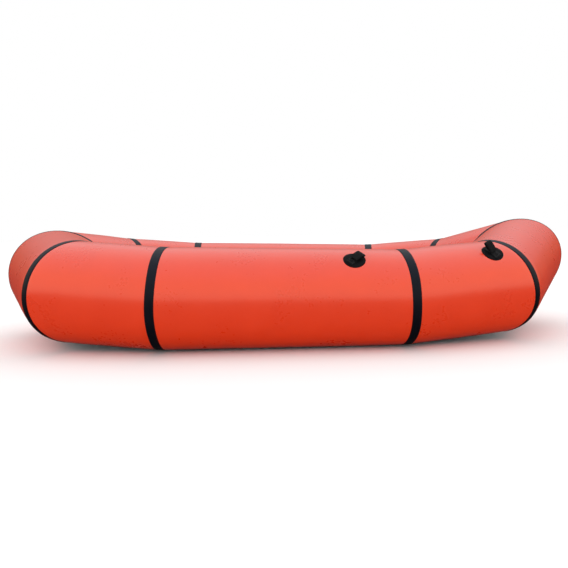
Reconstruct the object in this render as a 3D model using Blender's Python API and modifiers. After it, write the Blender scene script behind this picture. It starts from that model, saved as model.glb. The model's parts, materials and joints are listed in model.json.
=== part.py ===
"""Packraft: a one-person inflatable boat with a single-chamber tube, floor, seat, backrest and valves.

Metres, +Z up, +X towards the bow, +Y to port. The boat stands on z = 0, centred on the origin.
The tube's centreline is a closed polygon of ten stations. A straight, slightly tapered panel joins each
station to the next, and each seam lies in the plane that halves the angle between its two panels.
"""

import math

import bmesh
import bpy
from mathutils import Matrix, Vector

# ---------------------------------------------------------------- driving dimensions
# station, distance ahead of the middle, half width, height of the tube's underside, tube radius
STATIONS = (
    ("stern_tip", -0.7535, 0.000, 0.0380, 0.1520),
    ("stern_corner", -0.6015, 0.293, 0.0185, 0.1455),
    ("stern_side", -0.3375, 0.334, 0.0000, 0.1430),
    ("bow_side", 0.3285, 0.334, 0.0000, 0.1320),
    ("bow_corner", 0.6105, 0.261, 0.0160, 0.1330),
    ("bow_tip", 0.7695, 0.000, 0.0765, 0.1335),
)
PANEL_NAMES = ("stern_panel", "stern_quarter", "side_panel", "bow_quarter", "bow_panel")
TUBE_SIDES = 32
GAP = 0.0003  # clearance between pieces that touch
WALL = 0.0015  # coated fabric wall of the tube
TAPE_WIDTH = 0.025
TAPE_THICKNESS = 0.0008
TAPE_LIFT = 0.0006  # the faceted panels need a little more than GAP under the tapes
FLOOR_THICKNESS = 0.0018
FLOOR_LIFT = TAPE_LIFT + TAPE_THICKNESS + GAP  # the floor passes under the seam tapes
FLOOR_MARGIN_ANGLE = 7.0  # degrees that the floor's welded margin wraps up outboard
UNDER_TUBE = FLOOR_LIFT + FLOOR_THICKNESS

PATCH_RADIUS = 0.030
PATCH_THICKNESS = 0.0012
PATCH_LIFT = 0.0004
ANCHOR_THICKNESS = 0.0014
WEBBING_WIDTH = 0.025
LOOP_LENGTH = 0.034
LOOP_WIDTH = 0.009
WEBBING_THICKNESS = 0.0018
TIE_DOWN_ANGLE = 37.0  # degrees down from the tube's top, on the outboard side
# tie-down, starboard panel, distance along it, webbing's heading on the patch, angles it is raised on
# the starboard and the port side: webbing stays as it was last bent, so the two sides can differ
TIE_DOWNS = (
    ("mid", 2, 0.527, 42.0, -1.0, -1.0),
    ("bow", 3, 0.245, 115.0, 26.0, 2.0),
)

SEAT_SIZE = Vector((0.370, 0.340, 0.076))
SEAT_REAR_X = -0.435
SEAT_ROUNDING = 0.026
BACKREST_SIZE = Vector((0.070, 0.330, 0.160))
BACKREST_LEAN = 14.0  # degrees aft of upright, wedged between the quarter tubes
BACKREST_HINGE_X = -0.378
BACKREST_BASE = 0.018  # height of the cushion's lower face above the hinge line
LEAF_SIZE = Vector((0.034, 0.260, 0.0012))
STRAP_WIDTH = 0.020
STRAP_X = -0.255
STRAP_PATCH_ANGLE = 230.0
STRAP_PATCH_RADIUS = 0.025

VALVE_PANEL = 9
VALVE_ANGLE = 305.0
VALVE_ALONG = 0.102
VALVE_HOLE_RADIUS = 0.023

UP = Vector((0, 0, 1))
MM = 0.001

COLOURS = {
    "tube": ((0.80, 0.062, 0.022), 0.42),
    "tape": ((0.012, 0.012, 0.016), 0.38),
    "floor": ((0.020, 0.020, 0.022), 0.65),
    "webbing": ((0.010, 0.010, 0.011), 0.80),
    "cushion": ((0.055, 0.058, 0.062), 0.70),
    "valve": ((0.015, 0.015, 0.016), 0.45),
    "rubber": ((0.025, 0.025, 0.025), 0.75),
}


# ---------------------------------------------------------------- scene and object helpers
def clear_scene():
    for obj in list(bpy.data.objects):
        bpy.data.objects.remove(obj)


def new_collection(name):
    collection = bpy.data.collections.new(name)
    bpy.context.scene.collection.children.link(collection)
    return collection


def new_material(name):
    colour, roughness = COLOURS[name]
    material = bpy.data.materials.new(name)
    material.use_nodes = True
    shader = material.node_tree.nodes["Principled BSDF"]
    shader.inputs["Base Color"].default_value = (*colour, 1)
    shader.inputs["Roughness"].default_value = roughness
    shader.inputs["Metallic"].default_value = 0.0
    return material


def link(name, data, material, collection=None):
    """A new object in the raft's collection, with its material."""
    obj = bpy.data.objects.new(name, data)
    obj.data.materials.clear()
    obj.data.materials.append(MATERIALS[material])
    (collection or RAFT).objects.link(obj)
    return obj


def from_bmesh(name, bm, material, collection=None):
    bmesh.ops.recalc_face_normals(bm, faces=bm.faces)
    mesh = bpy.data.meshes.new(name)
    bm.to_mesh(mesh)
    bm.free()
    return link(name, mesh, material, collection)


def shade_round(obj, angle=40):
    obj.data.shade_smooth()
    obj.data.set_sharp_from_angle(angle=math.radians(angle))


def as_cutter(obj):
    obj.hide_render = True
    obj.display_type = "WIRE"


def baked(obj):
    """The object's evaluated mesh in its own space, and the object removed."""
    bpy.context.view_layer.update()
    graph = bpy.context.evaluated_depsgraph_get()
    mesh = bpy.data.meshes.new_from_object(obj.evaluated_get(graph))
    bpy.data.objects.remove(obj)
    return mesh


def mirrored_to_port(obj, name):
    """A copy of a starboard piece on the port side, as its own mesh."""
    bpy.context.view_layer.update()
    mesh = obj.data.copy()
    mesh.transform(Matrix.Diagonal((1, -1, 1, 1)) @ obj.matrix_world)
    mesh.flip_normals()
    copy = bpy.data.objects.new(name, mesh)
    RAFT.objects.link(copy)
    for modifier in obj.modifiers:
        twin = copy.modifiers.new(modifier.name, modifier.type)
        for key in ("thickness", "offset", "use_even_offset"):
            if hasattr(modifier, key):
                setattr(twin, key, getattr(modifier, key))
    return copy


# ---------------------------------------------------------------- the tube's geometry
def tube_path():
    """The ten stations in order: stern tip, starboard side, bow tip, port side."""
    def station(row, side):
        name, x, half_width, underside, radius = row
        return {
            "name": name if half_width == 0 else f"{name}_{'starboard' if side < 0 else 'port'}",
            "centre": Vector((x, side * half_width, underside + radius + UNDER_TUBE)),
            "radius": radius,
        }

    starboard = [station(row, -1) for row in STATIONS]
    port = [station(row, 1) for row in STATIONS[-2:0:-1]]
    return starboard + port


def seam_point(k, angle, lift=0.0):
    """A point of seam k, at an angle in degrees from the tube's top towards outboard, lifted off the tube."""
    count = len(PATH)
    before, here, after = (PATH[(k + step) % count]["centre"] for step in (-1, 0, 1))
    along = (after - here).normalized()
    normal = ((here - before).normalized() + along).normalized()
    outboard = normal.cross(UP).normalized()
    outward = (outboard - along * outboard.dot(along)).normalized()
    upward = outward.cross(along)
    turn = math.radians(angle)
    across = (PATH[k % count]["radius"] + lift) * (math.cos(turn) * upward + math.sin(turn) * outward)
    return here + across - along * (across.dot(normal) / along.dot(normal))


def surface_point(k, angle, along, lift=0.0):
    """A point on panel k, a distance along it from seam k, lifted off the tube."""
    start, end = seam_point(k, angle, lift), seam_point(k + 1, angle, lift)
    return start + (end - start).normalized() * along


def panel_length(k, angle):
    return (seam_point(k + 1, angle) - seam_point(k, angle)).length


def surface_frame(k, angle, along, lift=0.0):
    """Matrix at a point of panel k: X along the panel, Z out of the tube."""
    origin = surface_point(k, angle, along, lift)
    forward = (surface_point(k, angle, along + MM, lift) - origin).normalized()
    outward = surface_point(k, angle, along, lift + MM) - origin
    outward = (outward - forward * outward.dot(forward)).normalized()
    side = outward.cross(forward)
    frame = Matrix((forward, side, outward)).transposed().to_4x4()
    frame.translation = origin
    return frame


def wrap_on_tube(mesh, k, angle, along, heading=0.0):
    """Bends a flat mesh onto panel k: its XY plane follows the tube, and its Z is height off the tube."""
    radius = (PATH[k % len(PATH)]["radius"] + PATH[(k + 1) % len(PATH)]["radius"]) / 2
    turn = Matrix.Rotation(math.radians(heading), 4, "Z")
    origin = surface_point(k, angle, along)
    forward = (surface_point(k, angle, along + MM) - origin).normalized()
    for vertex in mesh.vertices:
        flat = turn @ vertex.co
        around = angle - math.degrees(flat.y / radius)
        slip = (surface_point(k, around, along, flat.z) - origin).dot(forward)  # the mitre is oblique
        vertex.co = surface_point(k, around, along + flat.x - slip, flat.z)
    mesh.update()


def loft(name, loops, material):
    """A closed band: each loop of points joins the next, and the last joins the first."""
    bm = bmesh.new()
    rows = [[bm.verts.new(point) for point in loop] for loop in loops]
    for first, second in zip(rows, rows[1:] + rows[:1]):
        for i in range(len(first)):
            j = (i + 1) % len(first)
            bm.faces.new((first[i], first[j], second[j], second[i]))
    bmesh.ops.triangulate(bm, faces=bm.faces, quad_method="SHORT_EDGE")
    obj = from_bmesh(name, bm, material)
    shade_round(obj)
    return obj


def angles():
    return [360.0 * i / TUBE_SIDES for i in range(TUBE_SIDES)]


# ---------------------------------------------------------------- primitives
def turned(name, profile, material, steps, collection=None):
    """A turned piece. Its profile is (radius, height) in mm, down the outer side, closed unless it starts at 0."""
    count = len(profile)
    closed = profile[0][0] > 0
    mesh = bpy.data.meshes.new(name)
    edges = [(i, (i + 1) % count) for i in range(count if closed else count - 1)]
    mesh.from_pydata([(r * MM, 0, z * MM) for r, z in profile], edges, [])
    obj = link(name, mesh, material, collection)
    screw = obj.modifiers.new("Turn", "SCREW")
    screw.steps = steps
    screw.render_steps = steps
    screw.use_merge_vertices = True
    screw.merge_threshold = 0.00001
    return obj


def box(name, low, high, material, rounding=0.0):
    bm = bmesh.new()
    bmesh.ops.create_cube(bm, size=1.0)
    low, high = Vector(low), Vector(high)
    size = high - low
    for vertex in bm.verts:
        vertex.co = Vector([vertex.co[i] * size[i] for i in range(3)]) + (low + high) / 2
    obj = from_bmesh(name, bm, material)
    if rounding:
        bevel = obj.modifiers.new("Rounding", "BEVEL")
        bevel.width = rounding
        bevel.segments = 4
    return obj


def strip(name, path, across, width, thickness, material):
    """Flat webbing: a path of points swept sideways by its width and thickened evenly."""
    bm = bmesh.new()
    half = across.normalized() * (width / 2)
    rows = [(bm.verts.new(point - half), bm.verts.new(point + half)) for point in path]
    for first, second in zip(rows, rows[1:]):
        bm.faces.new((first[0], first[1], second[1], second[0]))
    obj = from_bmesh(name, bm, material)
    solidify = obj.modifiers.new("Thickness", "SOLIDIFY")
    solidify.thickness = thickness
    solidify.offset = 0.0
    solidify.use_even_offset = True
    return obj


def stadium(width, length, middle, steps=6):
    """Points of a rounded oblong: width across X, length up Y, centred at height `middle`."""
    radius = width / 2
    reach = length / 2 - radius
    points = []
    for centre, start in ((middle + reach, 0.0), (middle - reach, math.pi)):
        for i in range(steps + 1):
            turn = start + math.pi * i / steps
            points.append((radius * math.cos(turn), centre + radius * math.sin(turn)))
    return points


# ---------------------------------------------------------------- the hull
def make_panel(k, name):
    """One hollow tube panel, mitred at both seams."""
    length_cut = GAP
    outer = [[], []]
    inner = [[], []]
    for angle in angles():
        for rows, lift in ((outer, 0.0), (inner, -WALL)):
            start, end = seam_point(k, angle, lift), seam_point(k + 1, angle, lift)
            step = (end - start).normalized() * length_cut
            rows[0].append(start + step)
            rows[1].append(end - step)
    return loft(name, [outer[0], outer[1], inner[1], inner[0]], "tube")


def make_tape(k, name):
    """Welded tape round seam k, half its width on each panel."""
    half = TAPE_WIDTH / 2
    loops = []
    for lift, order in ((TAPE_LIFT, (-1, 0, 1)), (TAPE_LIFT + TAPE_THICKNESS, (1, 0, -1))):
        for side in order:
            if side < 0:
                loop = [
                    surface_point(k - 1, a, (seam_point(k, a, lift) - seam_point(k - 1, a, lift)).length - half, lift)
                    for a in angles()
                ]
            elif side > 0:
                loop = [surface_point(k, a, half, lift) for a in angles()]
            else:
                loop = [seam_point(k, a, lift) for a in angles()]
            loops.append(loop)
    return loft(name, loops, "tape")


def make_hull():
    for k, station in enumerate(PATH):
        make_tape(k, f"tape_{station['name']}")
    names = [f"{name}_starboard" for name in PANEL_NAMES] + [f"{name}_port" for name in reversed(PANEL_NAMES)]
    return [make_panel(k, name) for k, name in enumerate(names)]


def make_floor():
    """Floor sheet: flat across between the tube's lowest lines, with a margin that wraps up outboard."""
    count = len(PATH)
    bm = bmesh.new()
    layers = []
    for lift in (FLOOR_LIFT, FLOOR_LIFT + FLOOR_THICKNESS):
        margin = [bm.verts.new(seam_point(k, 180 - FLOOR_MARGIN_ANGLE, lift)) for k in range(count)]
        lowest = [bm.verts.new(seam_point(k, 180, lift)) for k in range(count)]
        layers.append((margin, lowest))
        for k in range(count):
            j = (k + 1) % count
            bm.faces.new((margin[k], margin[j], lowest[j], lowest[k]))
        for k in range(1, count // 2 - 1):
            bm.faces.new((lowest[k], lowest[k + 1], lowest[count - k - 1], lowest[count - k]))
        bm.faces.new((lowest[0], lowest[1], lowest[count - 1]))
        bm.faces.new((lowest[count // 2 - 1], lowest[count // 2], lowest[count // 2 + 1]))
    top, bottom = layers[0][0], layers[1][0]
    for k in range(count):
        j = (k + 1) % count
        bm.faces.new((top[k], top[j], bottom[j], bottom[k]))
    return from_bmesh("floor_sheet", bm, "floor")


# ---------------------------------------------------------------- tie-downs
def disc(name, radius, thickness, lift, material, hole=0.0, steps=20):
    """A flat disc or ring with inner circles, ready to be wrapped. Sizes in metres."""
    inner, outer = hole / MM, radius / MM
    low, high = lift / MM, (lift + thickness) / MM
    circles = [inner + (outer - inner) * share for share in (0, 1 / 3, 2 / 3, 1)]
    profile = [(r, high) for r in circles] + [(r, low) for r in reversed(circles)]
    return turned(name, profile, material, steps)


def wrapped(obj, k, angle, along, heading=0.0):
    name = obj.name
    material = obj.data.materials[0].name
    mesh = baked(obj)
    wrap_on_tube(mesh, k, angle, along, heading)
    return link(name, mesh, material)


def anchor_bar(name, length, width):
    """Flat webbing sewn onto a patch, ready to be wrapped."""
    bm = bmesh.new()
    bmesh.ops.create_grid(bm, x_segments=4, y_segments=4, size=0.5)
    height = PATCH_LIFT + PATCH_THICKNESS + GAP
    for vertex in bm.verts:
        vertex.co = Vector((vertex.co.x * length, vertex.co.y * width, height))
    obj = from_bmesh(name, bm, "webbing")
    solidify = obj.modifiers.new("Thickness", "SOLIDIFY")
    solidify.thickness = ANCHOR_THICKNESS
    solidify.offset = 1.0
    return obj


def loop_frame(k, along, heading, raised):
    """Hinge frame of a webbing loop: X along the hinge line, Y its length, Z off the tube."""
    lift = PATCH_LIFT + PATCH_THICKNESS + GAP + ANCHOR_THICKNESS + GAP + LOOP_WIDTH / 2 + 0.0006
    frame = surface_frame(k, TIE_DOWN_ANGLE, along, lift)
    return frame @ Matrix.Rotation(math.radians(heading - 90), 4, "Z") @ Matrix.Rotation(math.radians(raised), 4, "X")


def loop_curve(name):
    """Webbing loop: an oblong ring extruded by the webbing's width."""
    curve = bpy.data.curves.new(name, "CURVE")
    curve.dimensions = "2D"
    curve.fill_mode = "BOTH"
    curve.extrude = WEBBING_WIDTH / 2
    middle = LOOP_LENGTH / 2 - LOOP_WIDTH / 2
    for width, length in (
        (LOOP_WIDTH, LOOP_LENGTH),
        (LOOP_WIDTH - 2 * WEBBING_THICKNESS, LOOP_LENGTH - 2 * WEBBING_THICKNESS),
    ):
        points = stadium(width, length, middle)
        spline = curve.splines.new("POLY")
        spline.points.add(len(points) - 1)
        for target, (x, y) in zip(spline.points, points):
            target.co = (x, y, 0, 1)
        spline.use_cyclic_u = True
    return curve


def make_tie_down(label, k, along, heading, raised_starboard, raised_port):
    """Patch, sewn webbing and swinging loop, on both sides of the boat."""
    patch = disc(f"tie_down_patch_{label}_starboard", PATCH_RADIUS, PATCH_THICKNESS, PATCH_LIFT, "tape")
    patch = wrapped(patch, k, TIE_DOWN_ANGLE, along)
    mirrored_to_port(patch, f"tie_down_patch_{label}_port")
    anchor = anchor_bar(f"tie_down_anchor_{label}_starboard", 0.044, WEBBING_WIDTH)
    anchor = wrapped(anchor, k, TIE_DOWN_ANGLE, along, heading)
    mirrored_to_port(anchor, f"tie_down_anchor_{label}_port")
    curve = loop_curve(f"tie_down_loop_{label}")
    sideways = Matrix.Rotation(math.radians(90), 4, "Y")
    starboard = loop_frame(k, along, heading, raised_starboard)
    port = loop_frame(k, along, heading, raised_port)
    port = Matrix.Diagonal((1, -1, 1, 1)) @ port @ Matrix.Diagonal((-1, 1, 1, 1))
    for side, frame in (("starboard", starboard), ("port", port)):
        loop = link(f"tie_down_loop_{label}_{side}", curve.copy(), "webbing")
        loop.matrix_world = frame @ sideways


# ---------------------------------------------------------------- the main valve
def leash_strap(name):
    """The leash's tail: out from the ring on the plug's neck, up, and back towards the ring on the cap."""
    points = ((22.0, 13.9), (28.5, 13.9), (32.0, 14.9), (33.2, 17.2), (31.4, 19.2), (27.6, 18.4), (21.5, 15.8))
    path = [Vector((x * MM, 0, z * MM)) for x, z in points]
    obj = strip(name, path, Vector((0, 1, 0)), 0.006, 0.0011, "rubber")
    as_cutter(obj)
    return obj


def make_main_valve(panel):
    """Two-stage inflation valve through the panel's wall: base, screw-in plug with a check flap, and cap."""
    frame = surface_frame(VALVE_PANEL, VALVE_ANGLE, VALVE_ALONG)
    steps = 24
    pieces = (
        ("valve_base", [
            (18.4, 8.0), (26.0, 8.0), (27.0, 7.0), (27.0, 3.0), (22.0, 3.0), (22.0, -14.0), (18.4, -14.0),
        ], "valve"),
        ("valve_plug_gasket", [(19.0, 9.3), (23.4, 9.3), (23.4, 8.3), (19.0, 8.3)], "rubber"),
        ("valve_plug", [
            (10.0, 19.0), (15.0, 19.0), (15.0, 13.0), (24.0, 13.0), (24.0, 9.6), (18.0, 9.6), (18.0, -15.0),
            (10.0, -15.0),
        ], "valve"),
        ("valve_cap_gasket", [(10.5, 20.3), (14.8, 20.3), (14.8, 19.3), (10.5, 19.3)], "rubber"),
        ("valve_cap", [
            (0.0, 23.2), (20.0, 23.2), (20.0, 17.0), (17.2, 17.0), (17.2, 14.6), (15.4, 14.6), (15.4, 20.6),
            (0.0, 20.6),
        ], "valve"),
        ("valve_leash_cap_ring", [(17.6, 16.7), (21.0, 16.7), (21.0, 14.9), (17.6, 14.9)], "rubber"),
        ("valve_leash", [(15.4, 14.3), (23.4, 14.3), (23.4, 13.3), (15.4, 13.3)], "rubber"),
    )
    made = {}
    for name, profile, material in pieces:
        made[name] = turned(name, profile, material, steps)
        made[name].matrix_world = frame
    strap = leash_strap("leash_strap_helper")
    strap.matrix_world = frame
    union = made["valve_leash"].modifiers.new("Strap", "BOOLEAN")
    union.operation = "UNION"
    union.object = strap
    flap = turned("valve_flap", [(0, 0), (13.0, 0), (13.0, -1.0), (0, -1.0)], "rubber", steps)
    flap.matrix_world = frame @ Matrix.Translation((0, 0, -15.3 * MM))
    patch = disc("valve_patch", 0.042, PATCH_THICKNESS, PATCH_LIFT, "tape", hole=0.0242, steps=28)
    wrapped(patch, VALVE_PANEL, VALVE_ANGLE, VALVE_ALONG)
    reach = 10.0
    profile = [(0, reach), (VALVE_HOLE_RADIUS / MM, reach), (VALVE_HOLE_RADIUS / MM, -reach), (0, -reach)]
    cutter = turned("valve_hole_cutter", profile, "tube", 28, CUTTERS)
    cutter.matrix_world = frame
    as_cutter(cutter)
    hole = panel.modifiers.new("Valve hole", "BOOLEAN")
    hole.operation = "DIFFERENCE"
    hole.object = cutter


# ---------------------------------------------------------------- seat and backrest
def make_twist_valve(prefix, frame):
    """Small mouth valve: welded flange, sealing ring and a stem that turns and rises to open."""
    pieces = (
        ("flange", [(5.3, 8.0), (8.0, 8.0), (8.0, 1.8), (16.0, 1.8), (16.0, 0.3), (5.3, 0.3)], "valve"),
        ("seal", [(5.3, 9.3), (7.2, 9.3), (7.2, 8.3), (5.3, 8.3)], "rubber"),
        ("stem", [
            (2.0, 15.0), (4.6, 15.0), (5.4, 13.6), (4.6, 12.4), (4.6, 11.0), (7.6, 11.0), (7.6, 9.6), (4.9, 9.6),
            (4.9, 1.2), (2.0, 1.2),
        ], "valve"),
    )
    for part, profile, material in pieces:
        turned(f"{prefix}_valve_{part}", profile, material, 16).matrix_world = frame


def seat_strap(side_length):
    """Starboard seat strap: level from the seat's side to the tube, then down the patch it is sewn to."""
    k = 2
    along = STRAP_X - STATIONS[2][1]
    strap_lift = PATCH_LIFT + PATCH_THICKNESS + GAP + WEBBING_THICKNESS / 2
    corner = surface_point(k, STRAP_PATCH_ANGLE, along, strap_lift + 0.0006)
    tab = surface_point(k, STRAP_PATCH_ANGLE - 7.0, along, strap_lift + 0.0006)
    start = Vector((corner.x, -side_length / 2 - 0.0006, corner.z))
    across = surface_point(k, STRAP_PATCH_ANGLE, along + 0.01) - surface_point(k, STRAP_PATCH_ANGLE, along)
    return strip(
        "seat_strap_starboard", [start, corner, tab], across, STRAP_WIDTH, WEBBING_THICKNESS, "webbing"
    ), k, along


def floor_top(x):
    """Height of the floor's upper face where it slopes up behind the stern_side stations."""
    behind, ahead = seam_point(1, 180, FLOOR_LIFT), seam_point(2, 180, FLOOR_LIFT)
    share = (x - behind.x) / (ahead.x - behind.x)
    return behind.z + (ahead.z - behind.z) * share


def make_seat():
    low = Vector((SEAT_REAR_X, -SEAT_SIZE.y / 2, floor_top(SEAT_REAR_X + SEAT_ROUNDING) + 2 * GAP))
    high = low + SEAT_SIZE
    box("seat_cushion", low, high, "cushion", SEAT_ROUNDING)
    strap, k, along = seat_strap(SEAT_SIZE.y)
    mirrored_to_port(strap, "seat_strap_port")
    patch = disc("seat_strap_patch_starboard", STRAP_PATCH_RADIUS, PATCH_THICKNESS, PATCH_LIFT, "tape")
    patch = wrapped(patch, k, STRAP_PATCH_ANGLE, along)
    mirrored_to_port(patch, "seat_strap_patch_port")
    corner = Matrix.Translation((high.x - 0.050, high.y - 0.055, high.z))
    make_twist_valve("seat", corner)
    return high.z


def make_backrest(seat_top):
    """Backrest cushion on a fabric hinge, leaning aft; its frame's origin is on the hinge line."""
    hinge = Vector((BACKREST_HINGE_X, 0, seat_top + GAP + LEAF_SIZE.z / 2))
    lean = Matrix.Translation(hinge) @ Matrix.Rotation(math.radians(-BACKREST_LEAN), 4, "Y")
    front = -0.0025
    half_width = BACKREST_SIZE.y / 2
    cushion = box(
        "backrest_cushion",
        (front - BACKREST_SIZE.x, -half_width, BACKREST_BASE),
        (front, half_width, BACKREST_BASE + BACKREST_SIZE.z),
        "cushion",
        SEAT_ROUNDING,
    )
    cushion.matrix_world = lean
    leaf_half = LEAF_SIZE.y / 2
    box(
        "backrest_hinge_seat_leaf",
        (hinge.x + 0.001, -leaf_half, seat_top + GAP),
        (hinge.x + 0.001 + LEAF_SIZE.x, leaf_half, seat_top + GAP + LEAF_SIZE.z),
        "tape",
    )
    back_leaf = box(
        "backrest_hinge_back_leaf",
        (front + GAP, -leaf_half, 0.0045),
        (front + GAP + LEAF_SIZE.z, leaf_half, 0.0045 + LEAF_SIZE.x + BACKREST_BASE),
        "tape",
    )
    back_leaf.matrix_world = lean
    top = Matrix.Translation((front - BACKREST_SIZE.x / 2, 0.095, BACKREST_BASE + BACKREST_SIZE.z))
    make_twist_valve("backrest", lean @ top)


# ---------------------------------------------------------------- build
clear_scene()
RAFT = new_collection("packraft")
CUTTERS = new_collection("cutters")
MATERIALS = {name: new_material(name) for name in COLOURS}
PATH = tube_path()

PANELS = make_hull()
make_floor()
for row in TIE_DOWNS:
    make_tie_down(*row)
make_main_valve(PANELS[VALVE_PANEL])
make_backrest(make_seat())
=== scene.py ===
"""Looks of the packraft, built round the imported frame. Metres, +Z up, +X towards the bow, +Y to port."""

import json
import math

import bpy
import numpy as np
from mathutils import Matrix, Vector, noise


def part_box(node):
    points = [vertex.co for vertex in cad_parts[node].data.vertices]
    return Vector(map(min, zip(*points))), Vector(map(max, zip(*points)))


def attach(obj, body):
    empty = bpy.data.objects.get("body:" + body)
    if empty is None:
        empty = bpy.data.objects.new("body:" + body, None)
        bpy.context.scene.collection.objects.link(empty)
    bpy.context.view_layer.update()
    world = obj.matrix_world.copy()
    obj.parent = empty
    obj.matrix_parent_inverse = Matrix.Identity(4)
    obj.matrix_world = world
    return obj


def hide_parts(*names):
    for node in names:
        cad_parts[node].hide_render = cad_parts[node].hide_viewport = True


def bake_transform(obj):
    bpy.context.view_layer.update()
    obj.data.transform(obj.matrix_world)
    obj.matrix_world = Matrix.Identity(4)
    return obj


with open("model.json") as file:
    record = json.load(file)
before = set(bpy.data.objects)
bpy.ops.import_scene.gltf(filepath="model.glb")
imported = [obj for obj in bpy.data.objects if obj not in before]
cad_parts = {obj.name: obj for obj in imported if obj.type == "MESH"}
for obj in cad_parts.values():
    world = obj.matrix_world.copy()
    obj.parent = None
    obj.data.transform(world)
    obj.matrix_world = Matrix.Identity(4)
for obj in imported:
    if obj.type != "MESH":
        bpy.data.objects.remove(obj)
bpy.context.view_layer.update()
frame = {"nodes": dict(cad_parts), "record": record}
RECORD = frame["record"]
JOINTS = {joint["name"]: joint for joint in RECORD["behaviour"]["joints"]}
MOUNTS = {mount["name"]: mount for mount in RECORD["mounts"]}

# ---------- the tube, as the CAD has it
# station, distance ahead of the middle, half width, height of the tube's underside, tube radius
STATIONS = (
    ("stern_tip", -0.7535, 0.000, 0.0380, 0.1520),
    ("stern_corner", -0.6015, 0.293, 0.0185, 0.1455),
    ("stern_side", -0.3375, 0.334, 0.0000, 0.1430),
    ("bow_side", 0.3285, 0.334, 0.0000, 0.1320),
    ("bow_corner", 0.6105, 0.261, 0.0160, 0.1330),
    ("bow_tip", 0.7695, 0.000, 0.0765, 0.1335),
)
PANEL_NAMES = ("stern_panel", "stern_quarter", "side_panel", "bow_quarter", "bow_panel")
UNDER_TUBE = 0.0035
UP = np.array((0.0, 0.0, 1.0))
MM = 0.001

# ---------- fabric details
FILLET = {"tip": 0.016, "corner": 0.024, "side": 0.030}  # half length of the soft bend at a seam
BULGE, BULGE_RISE = 0.0012, 0.05
PUCKER, PUCKER_REACH = 0.0017, 0.032
UNDULATION, UNDULATION_SCALE = 0.0005, 9.0
TAPE_HALF = 0.0125
TAPE_EDGE, TAPE_LIFT, TAPE_WANDER = 0.0002, 0.0009, 0.0006
HULL_SIDES = 128
WALL = 0.0008
SUNK = -0.0003  # how far the welded pieces reach below the skin
TUBE_WELD, FLOOR_WELD, LATHE_WELD = 0.00001, 0.0004, 0.000005
SHARP = 35  # degrees between faces that stay a crease on a turned piece
# angle round the tube and lift off it of the floor's welded rings
FLOOR_MARGIN = ((171.0, 0.0008), (174.0, 0.0012), (177.0, 0.0018), (180.0, 0.0022))
FLOOR_CREASE, FLOOR_CLEAR, FLOOR_THICK = 0.0022, 0.0003, 0.0010

PATCH_RADIUS, PATCH_TOP = 0.030, 0.0014
TIE_DOWN_ANGLE = 37.0
# name, panel, distance past the panel's first seam, heading of the sewn webbing
TIE_DOWNS = (("mid", 2, 0.527, 42.0), ("bow", 3, 0.245, 115.0))
WEBBING_WIDTH = 0.025
ANCHOR_LENGTH, ANCHOR_THICKNESS = 0.044, 0.0013
LOOP_REACH, LOOP_START, LOOP_BULGE, LOOP_THICKNESS = 0.0325, 0.0035, 0.0043, 0.0017
STEM_DEPTH, STEM_THICKNESS = 0.0068, 0.0036
STRAP_WIDTH = 0.020
VALVE_PATCH_RADIUS, VALVE_PATCH_HOLE, VALVE_PATCH_SIDES = 0.042, 0.0245, 96

NEUTRAL, COOL, WARM = (1.0, 1.0, 1.0), (0.93, 0.97, 1.0), (1.0, 0.96, 0.74)
# height of a direction (its Z, from -1 to 1 as 0 to 1), the radiance there and its tint
SHINE_FRONT = (
    (0.0, 0.05, NEUTRAL), (0.48, 0.04, NEUTRAL), (0.56, 2.2, WARM), (0.75, 2.4, WARM), (1.0, 2.6, COOL),
)
SHINE_BACK = (
    (0.0, 0.05, NEUTRAL), (0.48, 0.06, NEUTRAL), (0.57, 0.20, WARM), (0.68, 0.65, COOL), (0.82, 1.7, COOL),
    (1.0, 2.6, COOL),
)
SKY = ((0.0, 3.2, NEUTRAL), (0.5, 3.2, NEUTRAL), (0.60, 1.4, NEUTRAL), (1.0, 0.95, NEUTRAL))

VALVE_HOLE = 0.029
VALVE_PANEL, VALVE_ANGLE, VALVE_ALONG = 9, 305.0, 0.102


# ---------- small helpers
def unit(vector):
    return vector / np.linalg.norm(vector, axis=-1, keepdims=True)


def smooth(value, low, high):
    t = np.clip((value - low) / (high - low), 0.0, 1.0)
    return t * t * (3 - 2 * t)


def new_object(name, vertices, faces, material, uvs=None, smooth_angle=180):
    """A mesh object; uvs, in metres, gives one pair to each vertex."""
    mesh = bpy.data.meshes.new(name)
    mesh.from_pydata([tuple(map(float, v)) for v in vertices], [], [tuple(map(int, f)) for f in faces])
    if uvs is not None:
        layer = mesh.uv_layers.new(name="cloth")
        loops = np.empty(len(mesh.loops), dtype=np.int32)
        mesh.loops.foreach_get("vertex_index", loops)
        layer.data.foreach_set("uv", np.asarray(uvs, dtype=np.float32)[loops].ravel())
    mesh.validate()
    obj = bpy.data.objects.new(name, mesh)
    bpy.context.scene.collection.objects.link(obj)
    mesh.materials.append(material)
    mesh.shade_smooth()
    if smooth_angle < 180:
        mesh.set_sharp_from_angle(angle=math.radians(smooth_angle))
    return obj


def grid_faces(rows, columns, wrap=False):
    """Quads of a grid of points held row by row; wrap joins the last column to the first."""
    faces = []
    for i in range(rows - 1):
        for j in range(columns if wrap else columns - 1):
            k = (j + 1) % columns
            faces.append((i * columns + j, i * columns + k, (i + 1) * columns + k, (i + 1) * columns + j))
    return faces


def flipped(faces):
    return [tuple(reversed(face)) for face in faces]


def closing_faces(rows, columns):
    """Quads that join the last row of a wrapped grid to its first."""
    last = (rows - 1) * columns
    return [(last + j, last + (j + 1) % columns, (j + 1) % columns, j) for j in range(columns)]


def weld(obj, distance):
    modifier = obj.modifiers.new("Close", "WELD")
    modifier.merge_threshold = distance


def solidify(obj, thickness, offset=-1.0):
    modifier = obj.modifiers.new("Thickness", "SOLIDIFY")
    modifier.thickness = thickness
    modifier.offset = offset
    modifier.use_even_offset = True


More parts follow.
